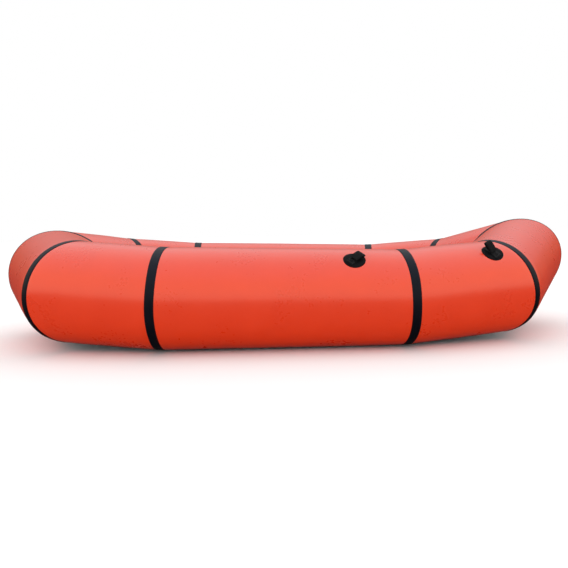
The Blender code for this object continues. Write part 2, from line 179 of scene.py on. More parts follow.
def finish_piece(obj, body, slot, *nodes):
    """Hangs a piece on the body it rides on and hides the CAD nodes it replaces, if any; slot is not used."""
    if nodes:
        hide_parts(*nodes)
    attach(obj, body)


def frame_matrix(origin, x_axis, y_axis, z_axis):
    matrix = Matrix((Vector(x_axis), Vector(y_axis), Vector(z_axis))).transposed().to_4x4()
    matrix.translation = Vector(origin)
    return matrix


def arc(start, corner, end, shares):
    """Points of a quadratic curve from start to end, drawn towards a corner."""
    return [(1 - t) ** 2 * start + 2 * t * (1 - t) * corner + t * t * end for t in shares]


def refine(points, steps=5):
    """A smooth line through points (Catmull-Rom)."""
    points = [np.array(p, float) for p in points]
    padded = [2 * points[0] - points[1], *points, 2 * points[-1] - points[-2]]
    line = []
    for a, b, c, d in zip(padded, padded[1:], padded[2:], padded[3:]):
        bend_2, bend_3 = 2 * a - 5 * b + 4 * c - d, 3 * b - a - 3 * c + d
        for t in np.linspace(0, 1, steps + 1)[:-1]:
            line.append(0.5 * (2 * b + (c - a) * t + bend_2 * t**2 + bend_3 * t**3))
    return line + [points[-1]]


# ---------- materials
class Nodes:
    """Short calls for a material's node tree."""

    def __init__(self, name):
        self.material = bpy.data.materials.new(name)
        self.material.use_nodes = True
        self.tree = self.material.node_tree
        self.shader = self.tree.nodes["Principled BSDF"]

    def add(self, kind, **values):
        node = self.tree.nodes.new(kind)
        for key, value in values.items():
            if key in node.inputs:
                node.inputs[key].default_value = value
            else:
                setattr(node, key, value)
        return node

    def link(self, output, target):
        self.tree.links.new(output, target)

    def math(self, operation, *values):
        node = self.add("ShaderNodeMath", operation=operation)
        for socket, value in zip(node.inputs, values):
            if isinstance(value, (int, float)):
                socket.default_value = value
            else:
                self.link(value, socket)
        return node.outputs[0]

    def noise(self, vector, scale, detail=3.0, roughness=0.5):
        node = self.add("ShaderNodeTexNoise", Scale=scale, Detail=detail, Roughness=roughness)
        self.link(vector, node.inputs["Vector"])
        return node.outputs["Fac"]

    def ramp(self, value, stops):
        node = self.add("ShaderNodeValToRGB")
        elements = node.color_ramp.elements
        while len(elements) < len(stops):
            elements.new(0.5)
        for element, (position, colour) in zip(elements, stops):
            element.position = position
            element.color = (*colour, 1)
        self.link(value, node.inputs["Fac"])
        return node.outputs["Color"]

    def remap(self, value, low, high):
        node = self.add("ShaderNodeMapRange")
        node.inputs["To Min"].default_value = low
        node.inputs["To Max"].default_value = high
        self.link(value, node.inputs["Value"])
        return node.outputs["Result"]

    def bump(self, height, distance, strength=1.0, normal=None):
        node = self.add("ShaderNodeBump", Strength=strength, Distance=distance)
        self.link(height, node.inputs["Height"])
        if normal is not None:
            self.link(normal, node.inputs["Normal"])
        return node.outputs["Normal"]

    def feed(self, name, output):
        self.link(output, self.shader.inputs[name])

    def set(self, **values):
        for key, value in values.items():
            self.shader.inputs[key.replace("_", " ")].default_value = value


def object_coordinates(nodes):
    return nodes.add("ShaderNodeTexCoord").outputs["Object"]


def cloth_coordinates(nodes):
    return nodes.add("ShaderNodeUVMap", uv_map="cloth").outputs["UV"]


def plain_weave(nodes, uv, pitch):
    """Height of a plain weave of threads, pitch metres apart, over coordinates in metres."""
    split = nodes.add("ShaderNodeSeparateXYZ")
    nodes.link(uv, split.inputs[0])
    waves = []
    for output in (split.outputs["X"], split.outputs["Y"]):
        turned = nodes.math("MULTIPLY", output, math.pi / pitch)
        waves.append(nodes.math("SINE", turned))
    return nodes.math("ABSOLUTE", nodes.math("MULTIPLY", waves[0], waves[1]))


def fabric_material(
    name, dark, light, roughness, pitch, weave_depth, shine=0.5, tint=(1, 1, 1), crease=0.0004, spread=0.03,
):
    """Coated cloth: a fine weave under the coating, soft creases, and a colour that varies a little."""
    crease_depth, pebble_depth, strength = crease * 12, crease * 0.3, 0.30
    nodes = Nodes(name)
    place = object_coordinates(nodes)
    cloth = cloth_coordinates(nodes)
    broad = nodes.noise(place, 9.0, 3.0, 0.55)
    fine = nodes.noise(place, 90.0, 4.0, 0.6)
    colour = nodes.ramp(broad, ((0.25, dark), (0.75, light)))
    nodes.feed("Base Color", colour)
    uneven = nodes.math("ADD", nodes.math("MULTIPLY", broad, 0.6), nodes.math("MULTIPLY", fine, 0.4))
    nodes.feed("Roughness", nodes.remap(uneven, roughness - spread, roughness + spread))
    soft = nodes.bump(broad, crease_depth, 0.35)
    pebble = nodes.bump(fine, pebble_depth, strength, soft)
    woven = nodes.bump(plain_weave(nodes, cloth, pitch), weave_depth, strength, pebble)
    nodes.feed("Normal", woven)
    nodes.set(Specular_IOR_Level=shine, Specular_Tint=(*tint, 1))
    return nodes.material


def webbing_material(name):
    """Woven webbing: cords along the strap, crossed by ribs that slant one way and the other."""
    rib, cord = 0.0016, 0.0032
    nodes = Nodes(name)
    uv = cloth_coordinates(nodes)
    split = nodes.add("ShaderNodeSeparateXYZ")
    nodes.link(uv, split.inputs[0])
    across, along = split.outputs["X"], split.outputs["Y"]
    zigzag = nodes.math("PINGPONG", across, cord)
    slant = nodes.math("ADD", along, nodes.math("MULTIPLY", zigzag, 0.8))
    ribs = nodes.math("SINE", nodes.math("MULTIPLY", slant, 2 * math.pi / rib))
    cords = nodes.math("SINE", nodes.math("MULTIPLY", across, 2 * math.pi / cord))
    height = nodes.math("ADD", nodes.math("MULTIPLY", ribs, 0.6), nodes.math("MULTIPLY", cords, 0.4))
    fuzz = nodes.noise(object_coordinates(nodes), 900.0, 2.0)
    # The weave's hollows are coloured darker than its raised threads: painted shade.
    shaded_hollow, raised = (0.002, 0.002, 0.003), (0.008, 0.008, 0.009)
    colour = nodes.ramp(nodes.remap(height, 0.0, 1.0), ((0.0, shaded_hollow), (1.0, raised)))
    nodes.feed("Base Color", colour)
    normal = nodes.bump(height, 0.00035, 0.8)
    nodes.feed("Normal", nodes.bump(fuzz, 0.0001, 0.4, normal))
    nodes.feed("Roughness", nodes.remap(fuzz, 0.55, 0.78))
    nodes.set(Specular_IOR_Level=0.05, Sheen_Weight=0.01, Sheen_Roughness=0.5)
    return nodes.material


def cushion_material(name):
    """Ripstop cloth: a fine grain with thicker threads in a grid, over object coordinates."""
    half_square, thread, dark_thread = 0.003, 0.00035, (0.45, 0.45, 0.48, 1)
    nodes = Nodes(name)
    place = object_coordinates(nodes)
    split = nodes.add("ShaderNodeSeparateXYZ")
    nodes.link(place, split.inputs[0])
    lines = []
    for axis in ("X", "Y", "Z"):
        near = nodes.math("PINGPONG", split.outputs[axis], half_square)
        lines.append(nodes.math("LESS_THAN", near, thread))
    grid = nodes.math("MAXIMUM", nodes.math("MAXIMUM", lines[0], lines[1]), lines[2])
    broad = nodes.noise(place, 12.0, 3.0)
    fine = nodes.noise(place, 700.0, 2.0)
    base = nodes.ramp(broad, ((0.2, (0.030, 0.032, 0.035)), (0.8, (0.050, 0.053, 0.058))))
    mix = nodes.add("ShaderNodeMix", data_type="RGBA", blend_type="MULTIPLY")
    nodes.link(nodes.math("MULTIPLY", grid, 0.35), mix.inputs["Factor"])
    nodes.link(base, mix.inputs["A"])
    mix.inputs["B"].default_value = dark_thread
    nodes.feed("Base Color", mix.outputs["Result"])
    nodes.feed("Roughness", nodes.remap(fine, 0.50, 0.72))
    soft = nodes.bump(broad, 0.006, 0.25)
    nodes.feed("Normal", nodes.bump(nodes.math("ADD", grid, fine), 0.0002, 0.5, soft))
    nodes.set(Specular_IOR_Level=0.3, Sheen_Weight=0.1, Sheen_Roughness=0.5)
    return nodes.material


def moulded_material(name, dark, light, roughness):
    """Moulded plastic or rubber: fine grain, smudges, and edges that are a little lighter."""
    spread = 0.1
    nodes = Nodes(name)
    place = object_coordinates(nodes)
    grain = nodes.noise(place, 2600.0, 2.0)
    smudge = nodes.noise(place, 160.0, 4.0)
    edge = nodes.add("ShaderNodeNewGeometry").outputs["Pointiness"]
    worn = nodes.remap(edge, 0.0, 1.0)
    tone = nodes.math("ADD", nodes.math("MULTIPLY", smudge, 0.6), nodes.math("MULTIPLY", worn, 0.4))
    nodes.feed("Base Color", nodes.ramp(tone, ((0.35, dark), (0.75, light))))
    nodes.feed("Roughness", nodes.remap(smudge, roughness - spread, roughness + spread))
    nodes.feed("Normal", nodes.bump(grain, 0.00006, 0.5))
    nodes.set(Specular_IOR_Level=0.2)
    return nodes.material


TUBE = fabric_material(
    "tube", (0.60, 0.028, 0.001), (0.64, 0.033, 0.002), 0.28, pitch=0.0009, weave_depth=0.00002,
    crease=0.00006,
)
TAPE = fabric_material(
    "tape", (0.002, 0.002, 0.004), (0.005, 0.005, 0.008), 0.50, pitch=0.0011, weave_depth=0.00010, shine=0.10,
    tint=(0.6, 0.7, 1.0),
)
PATCH = fabric_material(
    "patch", (0.002, 0.002, 0.003), (0.004, 0.004, 0.005), 0.60, pitch=0.0012, weave_depth=0.00012,
    shine=0.04,
)
FLOOR = fabric_material(
    "floor", (0.012, 0.012, 0.014), (0.020, 0.020, 0.023), 0.55, pitch=0.0014, weave_depth=0.00020, shine=0.3,
)
WEBBING = webbing_material("webbing")
CUSHION = cushion_material("cushion")
MOULDED = {
    "valve": moulded_material("valve", (0.010, 0.010, 0.011), (0.022, 0.022, 0.024), 0.42),
    "rubber": moulded_material("rubber", (0.018, 0.018, 0.018), (0.032, 0.032, 0.032), 0.68),
}
THREAD = moulded_material("thread", (0.030, 0.030, 0.033), (0.055, 0.055, 0.060), 0.60)


# ---------- the tube's skin
def tube_path():
    """Centre, radius and name of the ten stations: stern tip, starboard side, bow tip, port side."""
    def station(row, side):
        name, x, half_width, underside, radius = row
        label = name if half_width == 0 else f"{name}_{'starboard' if side < 0 else 'port'}"
        return np.array((x, side * half_width, underside + radius + UNDER_TUBE)), radius, label

    return [station(row, -1) for row in STATIONS] + [station(row, 1) for row in STATIONS[-2:0:-1]]


PATH = tube_path()
COUNT = len(PATH)


def seam_ring(k, degrees):
    """Points of seam k, at angles from the tube's top towards outboard."""
    before, here, after = (PATH[(k + step) % COUNT][0] for step in (-1, 0, 1))
    along = unit(after - here)
    normal = unit(unit(here - before) + along)
    outboard = unit(np.cross(normal, UP))
    outward = unit(outboard - along * outboard.dot(along))
    upward = np.cross(outward, along)
    turn = np.radians(degrees)[..., None]
    across = PATH[k % COUNT][1] * (np.cos(turn) * upward + np.sin(turn) * outward)
    return here + across - along * (across @ normal / along.dot(normal))[..., None]


def fillet_length(k):
    return FILLET[PATH[k % COUNT][2].split("_")[1]]


def bend(k):
    """Sine of half the angle between the two panels at seam k."""
    before, here, after = (PATH[(k + step) % COUNT][0] for step in (-1, 0, 1))
    cosine = unit(here - before).dot(unit(after - here))
    return math.sqrt(max(0.0, (1 - cosine) / 2))


def pucker(k, side, distance, degrees):
    """Height of the gathers beside a seam, on the inside of its bend."""
    rng = np.random.default_rng(100 + 2 * (k % COUNT) + (side > 0))
    inside = smooth(np.cos(np.radians(degrees - 270.0)), 0.05, 0.9)
    ripple = np.zeros_like(distance)
    for _ in range(7):
        count, phase, share = rng.integers(15, 42), rng.uniform(0, 2 * math.pi), rng.uniform(0.4, 1.0)
        ripple = ripple + share * np.sin(count * np.radians(degrees) + phase)
    fade = np.exp(-distance / PUCKER_REACH) * smooth(distance, 0.004, 0.018)
    return PUCKER * bend(k) * inside * ripple / 2.2 * fade


def skin(k, along, degrees, lift=0.0):
    """Points of the inflated skin. along is metres past seam k, below 0 on the panel before it."""
    along, degrees = np.broadcast_arrays(np.asarray(along, float), np.asarray(degrees, float))
    here = seam_ring(k, degrees)
    ahead, behind = seam_ring(k + 1, degrees), seam_ring(k - 1, degrees)
    tangent = seam_ring(k, degrees + 0.1) - seam_ring(k, degrees - 0.1)
    lines, normals, lengths = [], [], []
    for line in (here - behind, ahead - here):
        lengths.append(np.linalg.norm(line, axis=-1))
        lines.append(unit(line))
        normal = unit(np.cross(tangent, lines[-1]))
        outward = np.sign(((here - PATH[k % COUNT][0]) * normal).sum(-1, keepdims=True))
        normals.append(normal * outward)
    reach = fillet_length(k)
    t = np.clip((along + reach) / (2 * reach), 0, 1)[..., None]
    start, end = here - lines[0] * reach, here + lines[1] * reach
    bent = (1 - t) ** 2 * start + 2 * t * (1 - t) * here + t * t * end
    past = np.where(along > 0, np.maximum(along - reach, 0), np.minimum(along + reach, 0))[..., None]
    points = bent + np.where(past > 0, lines[1], lines[0]) * past
    normal = unit((1 - t) * normals[0] + t * normals[1])
    length = np.where(along >= 0, lengths[1], lengths[0])
    distance = np.abs(along)
    left, right = (1 - np.exp(-reached / BULGE_RISE) for reached in (distance, np.abs(length - distance)))
    swell = BULGE * left * right
    gathers = np.where(along >= 0, pucker(k, 1, distance, degrees), pucker(k, -1, distance, degrees))
    return points + normal * (swell + gathers + lift)[..., None]


def undulate(points, feet):
    """Slow unevenness of the skin, away from a foot on the axis, so that its reflections are not perfect."""
    out = unit(points - feet)
    amount = [UNDULATION * noise.noise(Vector(point) * UNDULATION_SCALE) for point in points]
    return points + out * np.array(amount)[:, None]


def panel_rows(k, degrees, lift=0.0):
    """Rows of points from seam k to seam k + 1, closer together beside the seams."""
    length = np.linalg.norm(seam_ring(k + 1, degrees) - seam_ring(k, degrees), axis=-1)
    bent_rows, straight_rows = 7, 20
    rows, marks = [], []
    for s in np.linspace(0, fillet_length(k), bent_rows):
        rows.append(skin(k, np.full_like(length, s), degrees, lift))
        marks.append(np.full_like(length, s))
    for share in np.linspace(0, 1, straight_rows)[1:-1]:
        s = fillet_length(k) + (length - fillet_length(k) - fillet_length(k + 1)) * share
        near, far = skin(k, s, degrees, lift), skin(k + 1, s - length, degrees, lift)
        weight = smooth(share, 0.3, 0.7)
        rows.append(near * (1 - weight) + far * weight)
        marks.append(s)
    for s in -np.linspace(fillet_length(k + 1), 0, bent_rows):
        rows.append(skin(k + 1, np.full_like(length, s), degrees, lift))
        marks.append(length + s)
    return rows, marks


def make_panel(k, node):
    degrees = np.linspace(0, 360, HULL_SIDES + 1)
    rows, marks = panel_rows(k, degrees)
    centre = (PATH[k][0] + PATH[(k + 1) % COUNT][0]) / 2
    axis = unit(PATH[(k + 1) % COUNT][0] - PATH[k][0])
    points = np.concatenate(rows)
    foot = centre + axis * ((points - centre) @ axis)[:, None]
    points = undulate(points, foot)
    uvs = np.stack((np.concatenate(marks), np.tile(np.radians(degrees) * PATH[k][1], len(rows))), -1)
    columns = len(degrees)
    points = points.reshape(len(rows), columns, 3)
    points[:, -1] = points[:, 0]
    points = points.reshape(-1, 3)
    faces = grid_faces(len(rows), columns)
    if k == VALVE_PANEL:
        hole = skin(k, VALVE_ALONG, VALVE_ANGLE)
        faces = [face for face in faces if np.linalg.norm(points[list(face)].mean(0) - hole) > VALVE_HOLE]
    obj = new_object(f"{node}_skin", points, faces, TUBE, uvs)
    weld(obj, TUBE_WELD)
    solidify(obj, WALL)
    finish_piece(obj, "hull", "tube", node)


def make_tape(k):
    """Welded tape that follows a seam, thinner at its edges."""
    degrees = np.linspace(0, 360, HULL_SIDES + 1)
    wander = TAPE_WANDER * np.sin(np.radians(degrees) * 5 + k)
    outer, inner, marks = [], [], []
    for s in np.linspace(-TAPE_HALF, TAPE_HALF, 11):
        edge = 1 - abs(s) / TAPE_HALF
        thick = TAPE_EDGE + TAPE_LIFT * smooth(edge, 0.0, 0.22)
        outer.append(skin(k, s + wander, degrees, thick))
        inner.append(skin(k, s + wander, degrees, SUNK))
        marks.append(np.full_like(degrees, s))
    rows = outer + inner[::-1]
    marks = marks + marks[::-1]
    columns = len(degrees)
    points = np.array(rows)
    points[:, -1] = points[:, 0]
    uvs = np.stack((np.concatenate(marks), np.tile(np.radians(degrees) * PATH[k][1], len(rows))), -1)
    faces = grid_faces(len(rows), columns) + closing_faces(len(rows), columns)[:-1]
    node = f"tape_{PATH[k][2]}"
    obj = new_object(f"{node}_band", points.reshape(-1, 3), faces, TAPE, uvs)
    weld(obj, TUBE_WELD)
    finish_piece(obj, "hull", "tape", node)


def make_hull():
    names = [f"{name}_starboard" for name in PANEL_NAMES] + [f"{name}_port" for name in reversed(PANEL_NAMES)]
    for k, node in enumerate(names):
        make_panel(k, node)
        make_tape(k)


# ---------- floor
def make_floor():
    """Floor sheet: its margin is welded up under the tubes, and it is slightly creased between them."""
    inwards = np.linspace(0, 1, 15)[1:]
    shares = np.linspace(0, 1, 26)[:-1]
    rings = []
    for degrees, lift in FLOOR_MARGIN:
        ring = []
        for k in range(COUNT):
            length = np.linalg.norm(seam_ring(k + 1, np.array(degrees)) - seam_ring(k, np.array(degrees)))
            for share in shares:
                seam, s = (k, share) if share < 0.5 else (k + 1, share - 1)
                ring.append(skin(seam, s * length, degrees, lift))
        rings.append(np.array(ring))
    lowest = rings[-1]
    for share in inwards:
        inner = lowest.copy()
        inner[:, 1] *= 1 - share
        rings.append(inner)
    points = np.concatenate(rings)
    columns = len(lowest)
    distance_in = np.repeat([*[0] * len(FLOOR_MARGIN), *inwards], columns)
    for i, point in enumerate(points):
        slow, quick = Vector((point[0] * 5, point[1] * 9, 0.3)), Vector(point) * 21
        raised = noise.noise(slow) + 0.5 * noise.noise(quick)
        points[i, 2] += FLOOR_CREASE * abs(raised) * min(1.0, distance_in[i] * 5)
    points[:, 2] = np.maximum(points[:, 2], FLOOR_CLEAR)
    faces = grid_faces(len(rings), columns, wrap=True)
    obj = new_object("floor_cloth", points, faces, FLOOR, points[:, :2])
    weld(obj, FLOOR_WELD)
    solidify(obj, FLOOR_THICK, 1.0)
    finish_piece(obj, "hull", "floor", "floor_sheet")
    return obj


# ---------- pieces wrapped on the tube
def wrap(points, k, angle, along, heading=0.0, side=-1):
    """Bends flat points onto panel k: x along it, y up the tube and z off it. side 1 mirrors to port."""
    turn = math.radians(heading)
    x = points[:, 0] * math.cos(turn) - points[:, 1] * math.sin(turn)
    y = points[:, 0] * math.sin(turn) + points[:, 1] * math.cos(turn)
    radius = (PATH[k % COUNT][1] + PATH[(k + 1) % COUNT][1]) / 2
    origin, ahead = skin(k, np.array((along, along + MM)), angle)
    around = angle - np.degrees(y / radius)
    slip = (skin(k, along, around, points[:, 2]) - origin) @ unit(ahead - origin)  # the seams are oblique
    placed = skin(k, along + x - slip, around, points[:, 2])
    if side > 0:
        placed[:, 1] *= -1
    return placed


def circle(radius, height, segments):
    turns = np.linspace(0, 2 * math.pi, segments + 1)[:-1]
    return [(radius * math.cos(t), radius * math.sin(t), height) for t in turns]


def disc_points(profile, segments=72):
    """A turned disc's points and faces. profile is (radius, height), from the top's middle round to below."""
    points, faces = [(0.0, 0.0, profile[0][1])], []
    for radius, height in profile[1:-1]:
        points += circle(radius, height, segments)
    points.append((0.0, 0.0, profile[-1][1]))
    rows = len(profile) - 2
    for j in range(segments):
        k = (j + 1) % segments
        faces.append((0, 1 + j, 1 + k))
        faces.append((len(points) - 1, 1 + (rows - 1) * segments + k, 1 + (rows - 1) * segments + j))
    for face in grid_faces(rows, segments, wrap=True):
        faces.append(tuple(reversed([1 + i for i in face])))
    return np.array(points), faces


def patch_profile(radius):
    """Section of a round patch, with a pressed weld line beside its rim."""
    flat = [(share, 0.0) for share in (0.15, 0.3, 0.45, 0.6, 0.72, 0.82, 0.86)]
    weld_line = [(0.88, 0.0004), (0.92, 0.0004), (0.94, 0.0001)]
    rim = [(0.98, 0.0002), (1.0, 0.0008)]
    upper = [(radius * share, PATCH_TOP - drop) for share, drop in flat + weld_line + rim]
    under = [(radius * share, SUNK) for share in (1.0, 0.75, 0.5, 0.25)]
    return [(0.0, PATCH_TOP), *upper, *under, (0.0, SUNK)]


def make_patch(name, node, k, angle, along, radius, side):
    flat, faces = disc_points(patch_profile(radius))
    placed = wrap(flat, k, angle, along, side=side)
    obj = new_object(name, placed, flipped(faces) if side > 0 else faces, PATCH, flat[:, :2])
    finish_piece(obj, "hull", "tape", node)


def strap_grid(width, length, thickness, base):
    """Flat webbing, as a closed slab with soft edges: x is its length, y its width."""
    half, across_steps, along_steps = width / 2, 14, 24
    section = []
    for share in np.linspace(-1, 1, across_steps):
        edge = math.sqrt(max(0.0, 1 - abs(share) ** 8))
        section.append((share * half, base + thickness * (0.55 + 0.45 * edge)))
    section += [(share * half, base) for share in np.linspace(1, -1, across_steps)]
    rows = [[(x, y, z) for y, z in section] for x in np.linspace(-length / 2, length / 2, along_steps)]
    points = np.array(rows).reshape(-1, 3)
    faces = grid_faces(along_steps, len(section), wrap=True)
    faces.append(tuple(range(len(section))))
    last = (along_steps - 1) * len(section)
    faces.append(tuple(reversed(range(last, last + len(section)))))
    return points, faces


def stitch_points(lines, length=0.0026, gap=0.0012, width=0.00035, height=0.0003):
    """Thread stitches along straight lines: small closed humps, one after another."""
    points, faces = [], []
    for start, end in lines:
        run = np.linalg.norm(end - start)
        direction = (end - start) / run
        side = np.array((-direction[1], direction[0], 0.0))
        for i in range(int(run / (length + gap))):
            middle = start + direction * ((i + 0.5) * (length + gap))
            first = len(points)
            for step, rise in ((-0.5, -0.6), (-0.25, 0.8), (0.25, 0.8), (0.5, -0.6)):
                centre = middle + direction * step * length + UP * rise * height
                for turn in range(6):
                    a = turn * math.pi / 3
                    points.append(centre + side * width * math.cos(a) + UP * width * math.sin(a))
            faces += [tuple(first + j for j in face) for face in grid_faces(4, 6, wrap=True)]
            faces += [tuple(first + j for j in range(6)), tuple(first + 18 + j for j in reversed(range(6)))]
    return np.array(points), faces


def box_stitch(length, width, height):
    """A sewn rectangle with a cross in it."""
    x, y = length / 2, width / 2
    a, b, c, d = (np.array((*corner, height)) for corner in ((-x, -y), (x, -y), (x, y), (-x, y)))
    return stitch_points(((a, b), (b, c), (c, d), (d, a), (a, c), (d, b)))


# ---------- tie-down loops
def webbing_strip(path, width, thickness, across, closed=False, rounding=8):
    """Webbing swept along a path: points, faces and uvs. across is the direction of its width."""
    path = np.array(path)
    count = len(path)
    if closed:
        ahead, behind = np.roll(path, -1, axis=0), np.roll(path, 1, axis=0)
    else:
        ahead = np.vstack((path[1:], path[-1:]))
        behind = np.vstack((path[:1], path[:-1]))
    tangent = unit(ahead - behind)
    across = unit(np.array(across))
    normal = unit(np.cross(tangent, across))
    travelled = np.concatenate(((0,), np.cumsum(np.linalg.norm(path[1:] - path[:-1], axis=1))))
    section = []
    for share in np.linspace(-1, 1, 11):
        full = max(0.0, 1 - abs(share) ** rounding) ** 0.5
        section.append((share * width / 2, thickness / 2 * full + 0.0001))
    section += [(w, -h) for w, h in reversed(section)]
    points, uvs = [], []
    for i in range(count):
        for w, h in section:
            points.append(path[i] + across * w + normal[i] * h)
            uvs.append((w, travelled[i]))
    sides = len(section)
    faces = grid_faces(count, sides, wrap=True)
    if closed:
        faces += closing_faces(count, sides)
    else:
        faces.append(tuple(reversed(range(sides))))
        faces.append(tuple((count - 1) * sides + i for i in range(sides)))
    return np.array(points), flipped(faces), np.array(uvs)


def loop_matrix(key):
    """Hinge frame of a loop: X the hinge line, Y its length, Z its upper side."""
    joint, mount = JOINTS[f"tie_down_{key}_swing"], MOUNTS[f"tie_down_{key}"]
    x_axis, z_axis = Vector(joint["axis"]).normalized(), Vector(mount["axis"]).normalized()
    return frame_matrix(joint["pos_m"], x_axis, z_axis.cross(x_axis), z_axis)


def teardrop(length, bulge, steps=40):
    """A closed line from the hinge out and back: narrow at the hinge, round at its far end."""
    points = []
    for i in range(steps):
        t = 2 * math.pi * i / steps
        reach = length * (1 - math.cos(t)) / 2
        spread = bulge * math.sin(t) * math.sin(t / 2) ** 1.3
        points.append((0.0, reach - LOOP_START, spread))
    return points


def make_loop(label, k, along, heading, side):
    """One tie-down: patch, sewn webbing, its stem and the loop."""
    key = f"{label}_{'starboard' if side < 0 else 'port'}"
    body = f"tie_down_loop_{key}"
    place = (k, TIE_DOWN_ANGLE, along, heading, side)
    make_patch(f"patch_{key}", f"tie_down_patch_{key}", k, TIE_DOWN_ANGLE, along, PATCH_RADIUS, side)
    flat, faces = strap_grid(WEBBING_WIDTH, ANCHOR_LENGTH, ANCHOR_THICKNESS, 0.0016)
    faces = flipped(faces) if side < 0 else faces
    anchor = new_object(f"sewn_webbing_{key}", wrap(flat, *place), faces, WEBBING, flat[:, 1::-1], 50)
    finish_piece(anchor, "hull", "webbing", f"tie_down_anchor_{key}")
    thread, faces = box_stitch(0.034, 0.017, 0.0031)
    finish_piece(new_object(f"stitching_{key}", wrap(thread, *place), faces, THREAD), "hull", "webbing")
    matrix = loop_matrix(key)
    line = teardrop(LOOP_REACH, LOOP_BULGE)
    points, faces, uvs = webbing_strip(line, WEBBING_WIDTH, LOOP_THICKNESS, (1, 0, 0), closed=True)
    loop = new_object(f"loop_{key}", [matrix @ Vector(p) for p in points], faces, WEBBING, uvs, 60)
    finish_piece(loop, body, "webbing", f"tie_down_loop_{key}")
    radial = wrap(np.array(((0, 0, 0.0), (0, 0, 0.01))), *place)
    outward = Vector(unit(radial[1] - radial[0]))
    hinge = matrix.translation
    foot, knee = hinge - outward * STEM_DEPTH, hinge - outward * 0.0015
    path = arc(foot, knee, hinge + matrix.col[1].to_3d() * 0.003, np.linspace(0, 1, 12))
    points, faces, uvs = webbing_strip(path, WEBBING_WIDTH - 0.0004, STEM_THICKNESS, matrix.col[0].to_3d())
    stem = new_object(f"stem_{key}", points, faces, WEBBING, uvs, 60)
    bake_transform(stem)


def make_tie_downs():
    for tie_down in TIE_DOWNS:
        for side in (-1, 1):
            make_loop(*tie_down, side)


# ---------- turned pieces
def lathe(name, node, body, slot, matrix, profile, segments=96, ribs=0, rib_depth=0.0):
    """A turned piece from (radius, height[, ribbed]) in mm, closed round the axis or back on itself."""
    rows = []
    closed = profile[0][0] > 0
    turns = np.linspace(0, 2 * math.pi, segments + 1)[:-1]
    for row in profile:
        radius, height = row[0] * MM, row[1] * MM
        cut = rib_depth * MM * (0.5 + 0.5 * np.cos(turns * ribs)) ** 3 if len(row) > 2 else 0.0
        reach = (radius - cut) * np.ones(segments)
        rows.append(np.stack((reach * np.cos(turns), reach * np.sin(turns), np.full(segments, height)), -1))
    points = np.array(rows).reshape(-1, 3)
    faces = grid_faces(len(rows), segments, wrap=True)
    if closed:
        faces += closing_faces(len(rows), segments)
    obj = new_object(name, [matrix @ Vector(p) for p in points], flipped(faces), MOULDED[slot], None, SHARP)
    weld(obj, LATHE_WELD)
    finish_piece(obj, body, slot, node)


def soft_ring(inner, outer, bottom, top, edge=0.3, drop=0.2):
    """Profile of a ring with softened edges, in mm."""
    return [
        (inner, top - drop), (inner + edge, top), (outer - edge, top), (outer, top - drop),
        (outer, bottom + drop), (outer - edge, bottom), (inner + edge, bottom), (inner, bottom + drop),
    ]


def axis_matrix(joint):
    """Frame on a joint's axis: Z along it, X as near as it can be to the boat's."""
    z_axis = Vector(JOINTS[joint]["axis"]).normalized()
    x_axis = (Vector((1, 0, 0)) - z_axis * z_axis.x).normalized()
    return frame_matrix(JOINTS[joint]["pos_m"], x_axis, z_axis.cross(x_axis), z_axis)


def valve_matrix():
    y_axis = Vector(JOINTS["flap_open"]["axis"]).normalized()
    z_axis = Vector(JOINTS["plug_turn"]["axis"]).normalized()
    return frame_matrix(JOINTS["plug_turn"]["pos_m"], y_axis.cross(z_axis), y_axis, z_axis)


